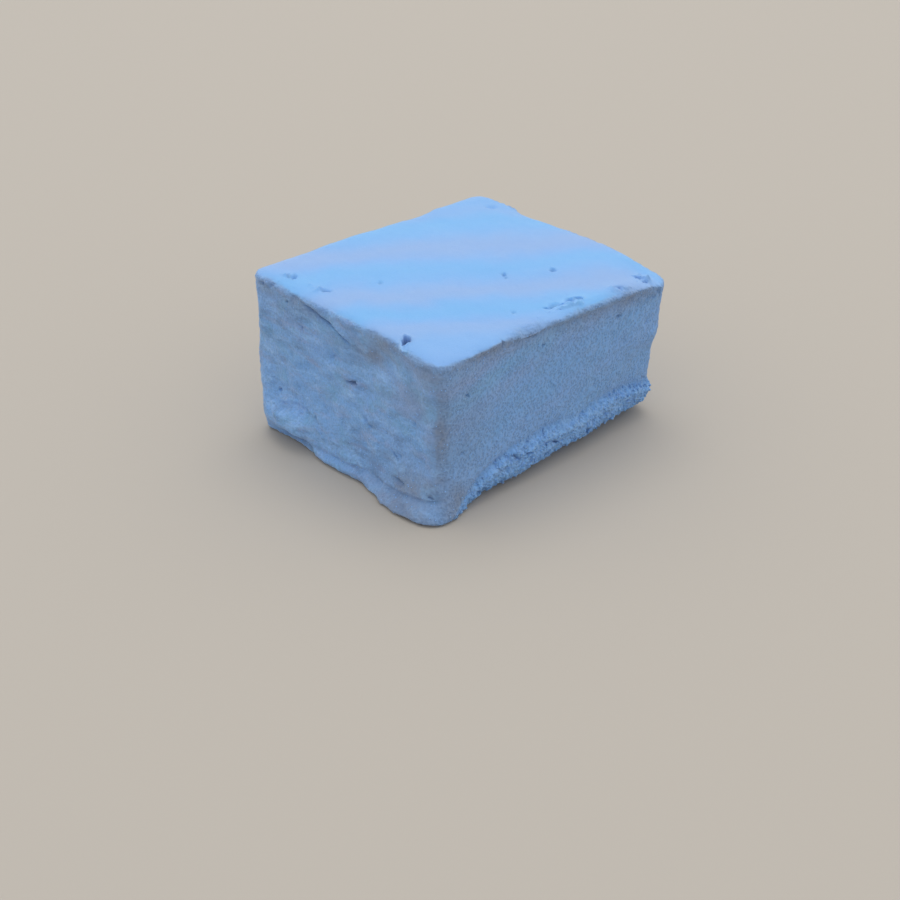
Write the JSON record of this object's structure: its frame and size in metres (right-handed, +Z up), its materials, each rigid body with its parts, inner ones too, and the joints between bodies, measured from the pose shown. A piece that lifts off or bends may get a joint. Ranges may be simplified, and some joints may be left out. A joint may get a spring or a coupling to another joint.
{
  "type": "marshmallow",
  "caption": "Hand-cut block of soft marshmallow foam, a lopsided cuboid with a smooth poured top, rough cut sides and a flat base to rest on.",
  "frame": {"origin": "middle of the flat base, on the surface the block rests on", "axes": "+Z up through the poured top, +Y along the longer cut side; the -Y and +X sides meet at the corner with the spread foot"},
  "size_m": [0.0498, 0.061, 0.0308],
  "materials": {
    "marshmallow_foam": "soft matt sugar foam, pale blue marbled with lilac pink, dusted with icing sugar",
    "icing_sugar": "dry, dead matt white sugar grains"
  },
  "bodies": {
    "root": {"marshmallow": "marshmallow_foam"}
  },
  "joints": []
}
